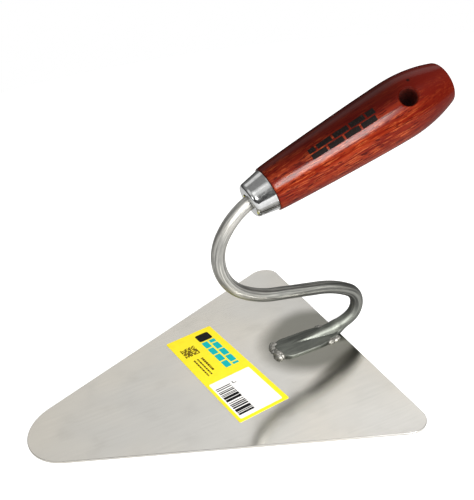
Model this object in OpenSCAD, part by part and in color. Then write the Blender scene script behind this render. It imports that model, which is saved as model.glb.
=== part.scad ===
// Brick trowel: triangular steel blade, swan-neck tang and turned wooden handle.
// The origin is on the blade's underside, in the middle of its straight heel edge.
// The tip points along -X, the handle overhangs the heel towards +X, and +Z is up.

/* [Blade] */
// Length from the heel edge to the rounded tip
blade_len = 176; // [140:1:240]
// Width across the two rounded heel corners
blade_w = 180; // [110:1:240]
// Thickness of the blade's steel
blade_t = 1.2; // [0.8:0.1:2.5]
// Radius of the rounded tip
tip_r = 24.5; // [10:0.5:30]
// Radius of the rounded heel corners
heel_r = 9.5; // [4:0.5:16]

/* [Tang] */
// Diameter of the round rod
tang_d = 7.2; // [6:0.1:9]
// Distance ahead of the heel edge where the rod starts to rise
rise_lead = 1.7; // [1:0.1:6]
// Radius of the bend that lifts the rod off the blade
rise_r = 20; // [14:0.5:30]
// Heading of the rod after that bend, in degrees above level
rise_to = 32; // [25:1:40]
// Radius of the tight bend behind the heel
heel_bend_r = 10.2; // [8:0.1:14]
// Heading of the rod after the tight bend
heel_bend_to = 145.5; // [138:0.5:152]
// Radius of the bend that levels the rod out over the blade
level_r = 50; // [30:1:60]
// Heading of the rod along its straight run over the blade
run_to = 168.5; // [162:0.5:174]
// Length of the straight run
run_len = 27; // [18:0.5:40]
// Radius of the bend that starts the front loop
dip_r = 44; // [30:1:55]
// Heading of the rod where the front loop tightens
dip_to = 144; // [130:1:155]
// Radius of the front loop
loop_r = 24.7; // [20:0.1:30]
// Heading of the rod where the front loop opens out
loop_to = 56; // [40:1:70]
// Radius of the last bend into the handle
neck_r = 40.5; // [30:0.5:60]
// Solid wood left between the spike's end and the middle of the hanging hole
spike_stop = 24; // [12:1:45]
// Length of the spike's tapered point
point_len = 14; // [5:1:20]
// Diameter of the point's blunt end
point_d = 3; // [2:0.1:5]

/* [Foot] */
// Length of the flattened foot, ahead of the heel edge
foot_len = 38; // [30:0.5:50]
// Width of the foot at its broad front part
foot_w = 18; // [14:0.5:24]
// Width of the foot at the heel edge
foot_heel_w = 11; // [9:0.5:13]
// Distance ahead of the heel edge where the foot reaches its full width
foot_flare = 16; // [8:0.5:20]
// Thickness of the foot along its middle
foot_h = 2.3; // [1.8:0.1:3.5]
// Thickness of the foot along its side edges
foot_edge_h = 1.1; // [0.8:0.1:1.6]
// Radius of the foot's front corners
foot_corner_r = 5; // [2:0.5:6]
// Length of the ridge that fades from the round rod into the foot
ridge_len = 28; // [20:0.5:30]

/* [Welds] */
// Width of the front weld bead's lumps
front_bead_d = 5.2; // [4:0.1:7]
// Width of the side weld beads' lumps
side_bead_d = 4.2; // [3:0.1:5]
// Length of each side weld bead
side_bead_len = 9; // [6:0.5:14]
// Height of a bead's lumps as a share of their width
bead_flat = 0.5; // [0.4:0.05:0.6]

/* [Handle] */
// Slope of the handle above level, in degrees
handle_tilt = 16.6; // [10:0.1:25]
// Length of the bare wood behind the ferrule
grip_len = 108.5; // [100:0.5:140]
// Diameter of the wood where it meets the ferrule
neck_d = 23.4; // [22.4:0.1:27]
// Diameter of the wood at its belly
belly_d = 32.5; // [30:0.1:40]
// Distance of the belly ahead of the butt
belly_back = 29; // [22:0.5:34]
// Height of the rounding where the bare wood begins
shoulder_round = 0.6; // [0.4:0.1:1.5]
// Length ahead of the belly over which the wood runs level
belly_ease = 16; // [8:0.5:36]
// Radius of the curve from the belly back to the butt
rear_r = 77; // [62:1:100]
// Height of the butt's dome
butt_dome = 2; // [1:0.1:4]
// Diameter of the hole for hanging the trowel up
hang_d = 9; // [6:0.1:11]
// Distance of the hanging hole from the butt
hang_inset = 28; // [20:0.5:34]
// Direction of the hanging hole about the handle, in degrees from upright
hang_roll = 52; // [0:1:90]
// Width of the rounded-off rim of the hanging hole
hang_rim = 1.6; // [0.8:0.1:2]

/* [Ferrule] */
// Length of the ferrule
ferrule_len = 11.7; // [9:0.1:18]
// Outer diameter at its open end, against the wood
ferrule_d = 22.2; // [20:0.1:23.5]
// Outer diameter at its front rim
ferrule_rim_d = 18.8; // [17:0.1:20]
// Outer diameter of its flat nose
ferrule_nose_d = 14.8; // [13:0.1:16.5]
// Length of the shoulder between the front rim and the nose
ferrule_nose_len = 2.6; // [1.5:0.1:3.5]
// Thickness of the ferrule's metal
ferrule_wall = 1.1; // [0.8:0.1:1.5]
// Length of the last bend that is hidden inside the ferrule
neck_in = 6.2; // [3:0.1:7]

/* [Label] */
// Length of the paper label
label_len = 85; // [60:1:95]
// Width of the paper label
label_w = 29; // [20:1:36]
// Thickness of the paper label
label_t = 0.15; // [0.1:0.05:0.3]
// Distance of the label's centre ahead of the heel edge
label_ahead = 69.5; // [66:0.5:80]
// Sideways distance of the label's centre from the middle of the blade
label_side = 2.3; // [-5:0.1:5]
// Turn of the label's length away from straight across the blade, in degrees
label_turn = 7.8; // [0:0.1:12]

/* [Hidden] */

$fn = 64;
fit_gap = 0.03;           // radial gap of pieces that are pressed together
overshoot = 1;            // how far cutting shapes run past what they cut
half_w = blade_w / 2;
rod_r = tang_d / 2;
slim_r = rod_r - 0.04;    // radius of the rod's slim stretches
slim_lap = 0.3;           // how far a slim stretch reaches into its neighbours
ridge_end_r = 1;          // radius of the ridge where it fades out
curve_steps = 24;         // straight stretches that make up a long turned curve

// Blade outline: three corner circles and their outer tangents. side_n is the
// heading of the long side's outward normal.
tip_c = [tip_r - blade_len, 0];
heel_c = [-heel_r, half_w - heel_r];
side_v = tip_c - heel_c;
side_n = 360 + atan2(side_v.y, side_v.x) - acos((heel_r - tip_r) / norm(side_v));

// Rod path in the X-Z plane: each bend is [radius, heading before, heading after].
function side_of(h0, h1) = h1 > h0 ? 1 : -1;
function bend_end(p, r, h0, h1) =
    p + side_of(h0, h1) * r * [sin(h1) - sin(h0), cos(h0) - cos(h1)];
rise_p = [-rise_lead, blade_t + rod_r];
heel_p = bend_end(rise_p, rise_r, 0, rise_to);
level_p = bend_end(heel_p, heel_bend_r, rise_to, heel_bend_to);
run_p = bend_end(level_p, level_r, heel_bend_to, run_to);
dip_p = run_p + run_len * [cos(run_to), sin(run_to)];
loop_p = bend_end(dip_p, dip_r, run_to, dip_to);
neck_p = bend_end(loop_p, loop_r, dip_to, loop_to);
grip_p = bend_end(neck_p, neck_r, loop_to, handle_tilt);

// Stations along the handle's axis, measured from the end of the last bend.
nose_z = -neck_in;
rim_z = nose_z + ferrule_nose_len;
wood_z = nose_z + ferrule_len;
spigot_z = nose_z + ferrule_wall + fit_gap;
butt_z = wood_z + grip_len;
belly_z = butt_z - belly_back;
butt_edge_z = butt_z - butt_dome;
hang_z = butt_z - hang_inset;
spike_z = hang_z - spike_stop;

// Offset of the curved rod from the handle's axis, at the nose and at the spigot.
nose_sag = neck_in * neck_in / (2 * neck_r);
spigot_sag = spigot_z * spigot_z / (2 * neck_r);
ferrule_hole_r = rod_r + nose_sag + 5 * fit_gap;
bore_r = rod_r + fit_gap;
bore_mouth_r = bore_r + spigot_sag + 2 * fit_gap;

belly_r = belly_d / 2;
butt_run = butt_edge_z - belly_z;
butt_r = belly_r - rear_r + sqrt(rear_r * rear_r - butt_run * butt_run);
dome_r = (butt_r * butt_r + butt_dome * butt_dome) / (2 * butt_dome);

// Ferrule cone: outer radius at station z between the rim and the wood.
function ferrule_r(z) =
    (ferrule_rim_d + (ferrule_d - ferrule_rim_d) * (z - rim_z) / (wood_z - rim_z)) / 2;

// Height of the foot's crowned top above its edge, and the radius of that crown.
crown_rise = foot_h - foot_edge_h;
crown_r = (foot_w * foot_w / 4 + crown_rise * crown_rise) / (2 * crown_rise);

function bezier(a, b, c, d, t) =
    pow(1 - t, 3) * a + 3 * pow(1 - t, 2) * t * b + 3 * (1 - t) * t * t * c + pow(t, 3) * d;

module in_handle_frame() {
    translate([grip_p.x, 0, grip_p.y]) rotate([0, 90 - handle_tilt, 0]) children();
}

module above_blade() {
    translate([-blade_len, -half_w, blade_t]) cube([2 * blade_len, blade_w, blade_len]);
}

// Points along a corner circle, from one heading to another.
function arc(centre, r, from, to) = let(steps = ceil(abs(to - from) / 4))
    [for (i = [0 : steps]) let(a = from + (to - from) * i / steps)
        centre + r * [cos(a), sin(a)]];

module blade() {
    color("silver")
    linear_extrude(blade_t) polygon(concat(
        arc(tip_c, tip_r, side_n, 360 - side_n),
        arc([heel_c.x, -heel_c.y], heel_r, 360 - side_n, 360),
        arc(heel_c, heel_r, 0, side_n)
    ));
}

// One bend of the rod, from point p in the X-Z plane. Every other stretch of the
// rod is slim: a hair thinner, and it reaches a little way into its neighbours.
module rod_bend(p, r, h0, h1, slim = false) {
    side = side_of(h0, h1);
    centre = p + side * r * [-sin(h0), cos(h0)];
    lap = slim ? slim_lap / r * 180 / PI : 0;
    translate([centre.x, 0, centre.y])
        rotate([90, 0, 0]) rotate([0, 0, min(h0, h1) - side * 90 - lap])
            rotate_extrude(angle = abs(h1 - h0) + 2 * lap)
                translate([r, 0]) circle(slim ? slim_r : rod_r);
}

module foot_outline() {
    corner_x = foot_corner_r - foot_len;
    corner_y = foot_w / 2 - foot_corner_r;
    polygon([
        [0, foot_heel_w / 2], [-foot_flare, foot_w / 2], [corner_x, foot_w / 2],
        [-foot_len, corner_y], [-foot_len, -corner_y],
        [corner_x, -foot_w / 2], [-foot_flare, -foot_w / 2], [0, -foot_heel_w / 2]
    ]);
    for (side = [-1, 1]) translate([corner_x, side * corner_y]) circle(foot_corner_r);
}

// Flattened end of the rod: a crowned pad with a tapering ridge along its middle.
module foot() {
    intersection() {
        translate([0, 0, blade_t]) linear_extrude(foot_h + overshoot) foot_outline();
        translate([overshoot, 0, blade_t + foot_h - crown_r])
            rotate([0, -90, 0]) cylinder(h = foot_len + 2 * overshoot, r = crown_r, $fn = 128);
    }
    intersection() {
        above_blade();
        ridge();
    }
}

// Ridge: a slender cone that sinks from inside the rod to the foot's surface.
module ridge() {
    start = rise_p + [overshoot, 0];
    end = [-ridge_len, blade_t + foot_h - ridge_end_r];
    drop = start.y - end.y;
    run = start.x - end.x;
    translate([start.x, 0, start.y])
        rotate([0, -90 - atan2(drop, run), 0])
            cylinder(h = norm([drop, run]), r1 = slim_r, r2 = ridge_end_r);
}

module tang() {
    color("darkgray") {
        foot();
        rod_bend(rise_p, rise_r, 0, rise_to);
        rod_bend(heel_p, heel_bend_r, rise_to, heel_bend_to, slim = true);
        rod_bend(level_p, level_r, heel_bend_to, run_to);
        translate([run_p.x, 0, run_p.y]) rotate([0, 90 - run_to, 0])
            translate([0, 0, -slim_lap]) cylinder(h = run_len + 2 * slim_lap, r = slim_r);
        rod_bend(dip_p, dip_r, run_to, dip_to);
        rod_bend(loop_p, loop_r, dip_to, loop_to, slim = true);
        rod_bend(neck_p, neck_r, loop_to, handle_tilt);
        in_handle_frame() rotate_extrude() polygon([
            [0, -slim_lap], [slim_r, -slim_lap], [slim_r, spike_z - point_len],
            [point_d / 2, spike_z], [0, spike_z]
        ]);
    }
}

// A chain of overlapping lumps along the line from a to b, cut off at the blade
// and where the foot fills their inner side.
module bead(a, b, lump_d) {
    rise = bead_flat * lump_d;
    lump_r = (lump_d * lump_d / 4 + rise * rise) / (2 * rise);
    count = ceil(norm(b - a) / (0.45 * lump_d));
    difference() {
        intersection() {
            above_blade();
            for (i = [0 : count]) {
                p = a + (b - a) * i / count;
                translate([p.x, p.y, blade_t + rise - lump_r]) sphere(lump_r);
            }
        }
        foot();
    }
}

module weld_front() {
    reach = foot_w / 2 - foot_corner_r / 2;
    color("lightgray") bead([-foot_len, -reach], [-foot_len, reach], front_bead_d);
}

// Bead along the foot's flared edge at the heel, on the side given by sign.
module side_weld(side) {
    flare = [-foot_flare, (foot_w - foot_heel_w) / 2] / foot_flare;
    a = [-side_bead_d / 2, foot_heel_w / 2] + flare * side_bead_d / 2;
    b = a + flare * (side_bead_len - side_bead_d);
    color("lightgray")
    bead([a.x, side * a.y], [b.x, side * b.y], side_bead_d);
}

module weld_near() {
    side_weld(-1);
}

module weld_far() {
    side_weld(1);
}

// Drawn steel cup that binds the front end of the wood.
module ferrule() {
    nose_r = ferrule_nose_d / 2;
    rim_r = ferrule_rim_d / 2;
    shoulder = [for (a = [0 : 15 : 90])
        [nose_r + (rim_r - nose_r) * sin(a), rim_z - ferrule_nose_len * cos(a)]];
    open_z = wood_z - fit_gap;
    color("gainsboro")
    in_handle_frame() rotate_extrude() polygon(concat(
        [[ferrule_hole_r, nose_z + ferrule_wall], [ferrule_hole_r, nose_z]],
        shoulder,
        [[ferrule_r(open_z), open_z], [ferrule_r(open_z) - ferrule_wall, open_z],
         [rim_r - ferrule_wall, rim_z], [nose_r - ferrule_wall / 2, nose_z + ferrule_wall]]
    ));
}

// Outer profile of the wood: spigot, barrel, belly, rear curve and butt dome.
function wood_profile() = let(
    rear_angle = asin(butt_run / rear_r),
    dome_angle = asin(butt_r / dome_r),
    neck = [neck_d / 2, wood_z],
    full = [neck_d / 2 + shoulder_round, wood_z],
    level = [belly_r, belly_z - belly_ease],
    belly = [belly_r, belly_z]
) concat(
    [[0, spigot_z], [ferrule_nose_d / 2 - ferrule_wall / 2 - fit_gap, spigot_z],
     [ferrule_rim_d / 2 - ferrule_wall - fit_gap, rim_z],
     [ferrule_r(wood_z) - ferrule_wall - fit_gap, wood_z]],
    [for (i = [0 : curve_steps]) bezier(neck, full, level, belly, i / curve_steps)],
    [for (i = [1 : curve_steps / 2]) let(a = rear_angle * i / (curve_steps / 2))
        [belly_r - rear_r * (1 - cos(a)), belly_z + rear_r * sin(a)]],
    [for (i = [1 : curve_steps / 4]) let(a = dome_angle * (1 - i / (curve_steps / 4)))
        [dome_r * sin(a), butt_z - dome_r * (1 - cos(a))]]
);

// Drilled hole for the spike, with a mouth that clears the end of the last bend.
module tang_bore() {
    translate([0, 0, spigot_z - overshoot]) cylinder(h = overshoot, r = bore_mouth_r);
    translate([0, 0, spigot_z]) cylinder(h = -spigot_z, r1 = bore_mouth_r, r2 = bore_r);
    cylinder(h = spike_z - point_len, r = bore_r);
    translate([0, 0, spike_z - point_len])
        cylinder(h = point_len + fit_gap, r1 = bore_r, r2 = point_d / 2 + fit_gap);
}

// Hole across the handle with both rims eased off.
module hanging_hole() {
    hole_r = hang_d / 2;
    rim_from = belly_r - 2 * hang_rim;
    rim_to = belly_r + overshoot;
    translate([0, 0, hang_z]) rotate([0, 0, hang_roll]) {
        rotate([0, 90, 0]) cylinder(h = 2 * rim_to, r = hole_r, center = true);
        for (turn = [0, 180]) rotate([0, 0, turn]) translate([rim_from, 0, 0])
            rotate([0, 90, 0])
                cylinder(h = rim_to - rim_from, r1 = hole_r, r2 = hole_r + (rim_to - rim_from) / 2);
    }
}

module handle() {
    color("firebrick")
    in_handle_frame() difference() {
        rotate_extrude($fn = 96) polygon(wood_profile());
        tang_bore();
        hanging_hole();
    }
}

module label() {
    color("gold")
    translate([-label_ahead, label_side, blade_t]) rotate([0, 0, label_turn])
        translate([-label_w / 2, -label_len / 2, 0]) cube([label_w, label_len, label_t]);
}

blade();
tang();
weld_front();
weld_near();
weld_far();
ferrule();
handle();
label();
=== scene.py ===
import math
import random

import bmesh
import bpy
from mathutils import Matrix, Vector, noise


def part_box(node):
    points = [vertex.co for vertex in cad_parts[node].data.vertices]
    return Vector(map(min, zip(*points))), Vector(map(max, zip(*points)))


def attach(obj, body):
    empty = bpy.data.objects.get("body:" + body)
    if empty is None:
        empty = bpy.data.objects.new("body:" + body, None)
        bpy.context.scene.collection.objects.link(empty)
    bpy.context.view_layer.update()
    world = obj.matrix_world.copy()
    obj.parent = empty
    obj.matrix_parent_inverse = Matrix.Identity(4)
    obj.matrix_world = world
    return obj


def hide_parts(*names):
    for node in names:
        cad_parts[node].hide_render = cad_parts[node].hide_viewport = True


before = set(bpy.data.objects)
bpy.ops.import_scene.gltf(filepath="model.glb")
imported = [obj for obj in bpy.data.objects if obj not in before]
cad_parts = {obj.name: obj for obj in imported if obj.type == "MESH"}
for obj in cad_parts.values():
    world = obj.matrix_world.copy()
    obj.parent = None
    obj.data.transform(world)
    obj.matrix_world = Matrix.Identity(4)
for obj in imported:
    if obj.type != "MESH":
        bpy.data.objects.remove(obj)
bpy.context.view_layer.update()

# Brick trowel: triangular steel blade, swan-neck tang, ferrule and turned wooden handle.
# Every length is in metres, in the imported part's frame: the origin is on the blade's
# underside in the middle of the heel edge, -X runs to the tip and +Z is up.

MM = 0.001
BLADE_LOW, BLADE_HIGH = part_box("blade")
BLADE_T = BLADE_HIGH.z
HALF_W = BLADE_HIGH.y

# Rod
ROD_R = 3.6 * MM
RISE_AT = -1.7 * MM
FIRST_BENDS = [(20 * MM, 32.0), (10.2 * MM, 145.5), (50 * MM, 168.5)]
RUN_LEN = 27 * MM
LAST_BENDS = [(44 * MM, 144.0), (24.7 * MM, 56.0), (40.5 * MM, 16.6)]
HANDLE_TILT = 16.6

# Stations along the handle's axis, measured from the end of the rod's last bend
NOSE_Z = -6.2 * MM
WOOD_Z = 5.5 * MM
HANG_Z = 86 * MM
BUTT_Z = 114 * MM
SPIKE_Z = 62 * MM
SPIKE_TAPER = 14 * MM
SPIKE_TIP_R = 1.5 * MM
HANG_ROLL = 52.0

CAP_CORNERS = 40  # a face with more corners than this is a flat end, kept apart in shading


# ---------------------------------------------------------------- mesh helpers

def make_piece(name, verts, faces, smooth_below=35.0):
    """A mesh object from vertices and faces, smooth except where faces meet sharply."""
    mesh = bpy.data.meshes.new(name)
    mesh.from_pydata([tuple(v) for v in verts], [], faces)
    piece = bpy.data.objects.new(name, mesh)
    bpy.context.scene.collection.objects.link(piece)
    finish_mesh(piece, smooth_below)
    return piece


def finish_mesh(piece, smooth_below=35.0):
    """Welds doubles, turns the faces outwards and marks the sharp edges."""
    bm = bmesh.new()
    bm.from_mesh(piece.data)
    bmesh.ops.remove_doubles(bm, verts=bm.verts, dist=1e-7)
    bmesh.ops.recalc_face_normals(bm, faces=bm.faces)
    limit = math.radians(smooth_below)
    for edge in bm.edges:
        beside_cap = any(len(face.verts) > CAP_CORNERS for face in edge.link_faces)
        edge.smooth = not beside_cap and edge.calc_face_angle(0.0) < limit
    for face in bm.faces:
        face.smooth = True
    bm.to_mesh(piece.data)
    bm.free()


def apply_modifiers(piece):
    """Replaces the piece's mesh by the result of its modifiers."""
    graph = bpy.context.evaluated_depsgraph_get()
    made = bpy.data.meshes.new_from_object(piece.evaluated_get(graph))
    piece.modifiers.clear()
    piece.data = made


def lathe(name, profile, steps, place=Matrix.Identity(4), smooth_below=35.0):
    """A closed turned solid. The profile is a list of (radius, height) points about +Z;
    it starts and ends on the axis, or it closes on itself as a ring."""
    on_axis = profile[0][0] == 0
    verts, faces, rings = [], [], []
    for radius, height in profile:
        if radius == 0:
            rings.append([len(verts)] * steps)
            verts.append(place @ Vector((0, 0, height)))
            continue
        rings.append(list(range(len(verts), len(verts) + steps)))
        for k in range(steps):
            angle = 2 * math.pi * k / steps
            spot = Vector((radius * math.cos(angle), radius * math.sin(angle), height))
            verts.append(place @ spot)
    pairs = list(zip(rings, rings[1:]))
    if not on_axis:
        pairs.append((rings[-1], rings[0]))
    for low, high in pairs:
        for k in range(steps):
            n = (k + 1) % steps
            corners = [low[k], low[n], high[n], high[k]]
            faces.append(list(dict.fromkeys(corners)))
    return make_piece(name, verts, faces, smooth_below)


def loft(name, rings):
    """A closed skin over rings of equally many points, capped at both ends."""
    count = len(rings[0])
    verts = [point for ring in rings for point in ring]
    faces = [list(range(count))[::-1]]
    for i in range(len(rings) - 1):
        for k in range(count):
            n = (k + 1) % count
            base = i * count
            faces.append([base + k, base + n, base + count + n, base + count + k])
    last = (len(rings) - 1) * count
    faces.append([last + k for k in range(count)])
    return make_piece(name, verts, faces)


def set_flow(piece, values):
    """Stores straightened coordinates on the vertices, for textures that follow a bend."""
    flow = piece.data.attributes.new("flow", "FLOAT_VECTOR", "POINT")
    flow.data.foreach_set("vector", [c for value in values for c in value])


def ease(t):
    t = max(0.0, min(1.0, t))
    return t * t * (3 - 2 * t)


def arc_points(centre, radius, start, end, step=4.0):
    count = math.ceil(abs(end - start) / step)
    angles = [math.radians(start + (end - start) * i / count) for i in range(count + 1)]
    return [(centre[0] + radius * math.cos(a), centre[1] + radius * math.sin(a)) for a in angles]


# --------------------------------------------------------------- shader helpers

class Shader:
    """Short calls for building a material's nodes. A value is a number, a tuple or a socket."""

    def __init__(self, name):
        self.material = bpy.data.materials.new(name)
        self.material.use_nodes = True
        self.tree = self.material.node_tree
        self.principled = self.tree.nodes["Principled BSDF"]

    def plug(self, socket, value):
        if isinstance(value, bpy.types.NodeSocket):
            self.tree.links.new(value, socket)
        else:
            socket.default_value = value

    def node(self, kind, inputs, **settings):
        made = self.tree.nodes.new(kind)
        for key, value in settings.items():
            setattr(made, key, value)
        for key, value in inputs.items():
            self.plug(made.inputs[key], value)
        return made

    def set(self, **values):
        for key, value in values.items():
            self.plug(self.principled.inputs[key.replace("_", " ")], value)

    def place(self):
        return self.node("ShaderNodeTexCoord", {}).outputs["Object"]

    def attribute(self, name):
        return self.node("ShaderNodeAttribute", {}, attribute_name=name).outputs["Vector"]

    def math(self, operation, *values):
        made = self.node("ShaderNodeMath", dict(enumerate(values)), operation=operation)
        return made.outputs[0]

    def vector(self, operation, *values):
        made = self.node("ShaderNodeVectorMath", dict(enumerate(values)), operation=operation)
        return made.outputs["Value" if operation in ("DOT_PRODUCT", "LENGTH") else "Vector"]

    def mapped(self, vector, scale, rotation=(0, 0, 0)):
        inputs = {"Vector": vector, "Scale": scale, "Rotation": rotation}
        return self.node("ShaderNodeMapping", inputs).outputs["Vector"]

    def noise(self, vector, scale, detail=3.0, roughness=0.5):
        inputs = {"Vector": vector, "Scale": scale, "Detail": detail, "Roughness": roughness}
        return self.node("ShaderNodeTexNoise", inputs).outputs["Fac"]

    def ramp(self, value, low, high, to_low=0.0, to_high=1.0):
        inputs = {"Value": value, "From Min": low, "From Max": high,
                  "To Min": to_low, "To Max": to_high}
        made = self.node("ShaderNodeMapRange", inputs, interpolation_type="SMOOTHSTEP")
        return made.outputs["Result"]

    def mix(self, factor, a, b):
        """Colour a where the factor is 0 and b where it is 1."""
        made = self.node("ShaderNodeMix", {}, data_type="RGBA")
        self.plug(made.inputs["Factor"], factor)
        self.plug(made.inputs[6], a)
        self.plug(made.inputs[7], b)
        return made.outputs[2]

    def bump(self, height, distance, strength=1.0, normal=None):
        inputs = {"Height": height, "Distance": distance, "Strength": strength}
        if normal is not None:
            inputs["Normal"] = normal
        return self.node("ShaderNodeBump", inputs).outputs["Normal"]


def rgb(red, green, blue):
    """A linear colour from 0-255 screen values."""
    def linear(v):
        v = v / 255
        return v / 12.92 if v <= 0.04045 else ((v + 0.055) / 1.055) ** 2.4
    return (linear(red), linear(green), linear(blue), 1.0)


# -------------------------------------------------------------------- materials

TINT_MIDDLE = (-15 * MM, 1 * MM)
TINT_REACH_X = 31 * MM
TINT_REACH_Y = 30 * MM
# Painted reflection of the rod on the blade: a dark band, placed by the next five numbers
ROD_REFLECTION_START = (-5 * MM, -23.5 * MM, 0)
ROD_REFLECTION_RUN = (0.922, 0.387)  # direction of the dark band across the blade
ROD_REFLECTION_CORE = 1.0 * MM
ROD_REFLECTION_EDGE = 6.5 * MM
ROD_REFLECTION_FADE = (-38 * MM, -14 * MM)
DISH = 0.30  # rise of the dished sheet in metres per square metre from the middle
SHEAR_DEPTH = (0.20 * MM, 0.02 * MM)  # how far under the top the dull edge sets in


def blade_material():
    """Ground sheet steel: fine lines along the blade, faint clouds and the weld's heat tint."""
    s = Shader("ground_steel")
    spot = s.place()
    lines = s.noise(s.mapped(spot, (40, 1500, 1500)), 1.0, 4.0, 0.6)
    cross = s.noise(s.mapped(spot, (900, 60, 900)), 1.0, 2.0)
    clouds = s.noise(spot, 14.0, 2.0)
    stains = s.noise(spot, 60.0, 4.0, 0.55)
    colour = s.mix(s.ramp(clouds, 0.35, 0.7), rgb(212, 211, 208), rgb(222, 218, 210))
    colour = s.mix(s.ramp(lines, 0.3, 0.8, 0.0, 0.22), colour, rgb(190, 190, 186))
    colour = s.mix(s.ramp(stains, 0.50, 0.80, 0.0, 0.22), colour, rgb(190, 188, 182))
    # Heat tint: an oval about the foot, with a wavering soft edge
    offset = s.vector("SUBTRACT", spot, (TINT_MIDDLE[0], TINT_MIDDLE[1], BLADE_T))
    reach = s.vector("LENGTH", s.mapped(offset, (1 / TINT_REACH_X, 1 / TINT_REACH_Y, 0)))
    waver = s.ramp(s.noise(spot, 30.0, 2.0), 0.3, 0.7, -0.05, 0.05)
    reach = s.math("ADD", reach, waver)
    tint = s.ramp(reach, 0.72, 1.16, 1.0, 0.0)
    colour = s.mix(s.math("MULTIPLY", tint, 0.86), colour, rgb(130, 130, 122))
    # Dark band along the near side of the tint: a painted reflection of the rod
    beyond = s.node("ShaderNodeSeparateXYZ", {"Vector": s.vector("SUBTRACT", spot, ROD_REFLECTION_START)})
    aside = s.math("ADD", s.math("MULTIPLY", beyond.outputs["X"], -ROD_REFLECTION_RUN[1]),
                   s.math("MULTIPLY", beyond.outputs["Y"], ROD_REFLECTION_RUN[0]))
    scale = s.ramp(s.math("ABSOLUTE", aside, 0.0), ROD_REFLECTION_CORE, ROD_REFLECTION_EDGE, 0.75, 0.0)
    scale = s.math("MULTIPLY", scale, s.ramp(beyond.outputs["X"], *ROD_REFLECTION_FADE))
    colour = s.mix(scale, colour, rgb(72, 70, 58))
    roughness = s.ramp(stains, 0.3, 0.8, 0.14, 0.17)
    roughness = s.math("ADD", roughness, s.math("MULTIPLY", tint, 0.10))
    # Sheared edges and underside are left duller than the ground top
    height = s.node("ShaderNodeSeparateXYZ", {"Vector": spot}).outputs["Z"]
    sheared = s.ramp(height, BLADE_T - SHEAR_DEPTH[0], BLADE_T - SHEAR_DEPTH[1], 0.42, 0.0)
    roughness = s.math("ADD", roughness, sheared)
    # A bump shades the flat sheet as if it were slightly dished across its width
    across = s.node("ShaderNodeSeparateXYZ", {"Vector": spot}).outputs["Y"]
    dish = s.math("MULTIPLY", s.math("MULTIPLY", across, across), DISH)
    normal = s.bump(dish, 1.0)
    normal = s.bump(clouds, 0.9 * MM, 0.10, normal)
    normal = s.bump(lines, 0.004 * MM, 1.0, normal)
    normal = s.bump(cross, 0.003 * MM, 0.6, normal)
    s.set(Base_Color=colour, Metallic=1.0, Roughness=roughness, Normal=normal)
    return s.material


# Painted shade on the rod: where along it the darkening fades out
ROD_SHADE_RANGE = (118 * MM, 170 * MM)  # distance along the rod over which the darkening ends
FORGED = (40 * MM, 62 * MM)


def rod_material():
    """Dull drawn steel: die lines along the rod, scale patches and small pits."""
    s = Shader("drawn_steel")
    flow = s.attribute("flow")
    spot = s.place()
    lines = s.noise(s.mapped(flow, (900, 900, 40)), 1.0, 4.0, 0.6)
    patches = s.noise(s.mapped(flow, (260, 260, 70)), 1.0, 4.0, 0.55)
    pits = s.noise(spot, 1500.0, 2.0)
    clouds = s.noise(spot, 45.0, 2.0)
    colour = s.mix(s.ramp(lines, 0.38, 0.62), rgb(146, 147, 145), rgb(214, 214, 210))
    colour = s.mix(s.ramp(patches, 0.46, 0.66, 0.0, 0.45), colour, rgb(112, 112, 111))
    colour = s.mix(s.ramp(clouds, 0.35, 0.7, 0.0, 0.25), colour, rgb(158, 152, 144))
    colour = s.mix(s.ramp(pits, 0.66, 0.8, 0.0, 0.5), colour, rgb(66, 64, 60))
    # Painted shade: the rod is a darker grey from the foot to the loop, which also darkens its reflection
    # in the blade
    gone = s.node("ShaderNodeSeparateXYZ", {"Vector": flow}).outputs["Z"]
    uneven = s.math("ADD", gone, s.math("MULTIPLY", clouds, 20 * MM))
    rod_shade = s.ramp(uneven, *ROD_SHADE_RANGE, 0.82, 0.0)
    darkened = s.mix(s.ramp(lines, 0.40, 0.60), rgb(62, 64, 62), rgb(114, 116, 112))
    colour = s.mix(rod_shade, colour, darkened)
    # Hammer scale evens out the foot and the first bend
    forged = s.mix(s.ramp(patches, 0.35, 0.65), rgb(92, 96, 91), rgb(124, 128, 122))
    colour = s.mix(s.ramp(gone, *FORGED, 0.85, 0.0), colour, forged)
    roughness = s.ramp(patches, 0.3, 0.7, 0.44, 0.58)
    normal = s.bump(lines, 0.09 * MM, 1.0)
    normal = s.bump(patches, 0.12 * MM, 0.7, normal)
    normal = s.bump(pits, 0.03 * MM, 0.6, normal)
    s.set(Base_Color=colour, Metallic=0.90, Roughness=roughness, Normal=normal)
    return s.material


def weld_material():
    """Bare weld metal: bright lumps with darker slag in the hollows."""
    s = Shader("weld_metal")
    spot = s.place()
    lumps = s.noise(spot, 900.0, 4.0, 0.6)
    slag = s.noise(spot, 420.0, 3.0, 0.55)
    colour = s.mix(s.ramp(lumps, 0.3, 0.7), rgb(128, 128, 124), rgb(196, 195, 190))
    colour = s.mix(s.ramp(slag, 0.56, 0.70, 0.0, 0.6), colour, rgb(104, 101, 94))
    roughness = s.ramp(slag, 0.4, 0.65, 0.46, 0.62)
    normal = s.bump(lumps, 0.25 * MM, 1.0)
    s.set(Base_Color=colour, Metallic=0.95, Roughness=roughness, Normal=normal)
    return s.material


def ferrule_material():
    """Bright plated steel with fine turned lines and handling marks."""
    s = Shader("plated_steel")
    along = handle_place(s)
    lines = s.noise(s.mapped(along, (60, 60, 5200)), 1.0, 3.0)
    marks = s.noise(along, 420.0, 3.0, 0.6)
    colour = s.mix(s.ramp(marks, 0.4, 0.7, 0.0, 0.5), rgb(222, 224, 226), rgb(196, 198, 200))
    roughness = s.ramp(marks, 0.35, 0.75, 0.09, 0.20)
    normal = s.bump(lines, 0.003 * MM, 1.0)
    normal = s.bump(s.noise(along, 130.0, 2.0), 0.25 * MM, 0.25, normal)
    s.set(Base_Color=colour, Metallic=1.0, Roughness=roughness, Normal=normal)
    return s.material


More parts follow.
